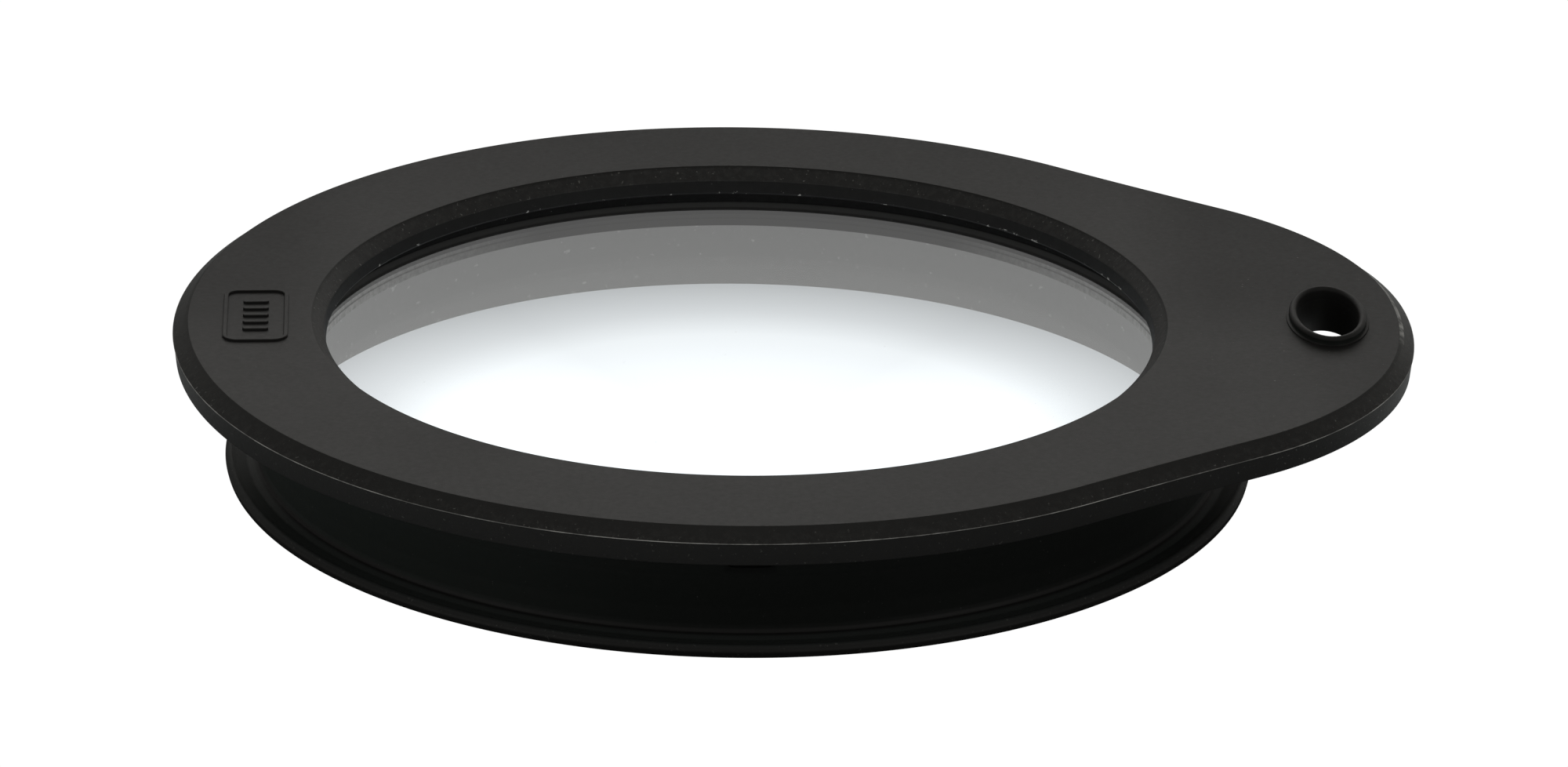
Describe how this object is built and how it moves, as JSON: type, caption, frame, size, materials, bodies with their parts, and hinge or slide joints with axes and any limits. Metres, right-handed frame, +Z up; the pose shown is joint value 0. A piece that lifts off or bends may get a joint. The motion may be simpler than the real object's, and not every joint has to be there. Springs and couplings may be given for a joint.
{
  "type": "glass lid with silicone rim",
  "caption": "Round glass pane held in a black silicone rim with a plug-in sealing skirt and a hanging tab, for covering a kitchen bowl.",
  "frame": {"origin": "bottom centre of the lid's box, on the plane that the skirt's standing ring rests on; the ring's own axis is at x = -10.55 mm because the tab stands out on one side", "axes": "+X from the pane's centre towards the nose of the hanging tab, +Z up along the ring's axis, +Y across"},
  "size_m": [0.2412, 0.2202, 0.0334],
  "materials": {
    "silicone": "satin black moulded silicone rubber",
    "glass": "clear polished"
  },
  "bodies": {
    "root": {"silicone_rim": "silicone", "glass_pane": "glass"}
  },
  "joints": []
}
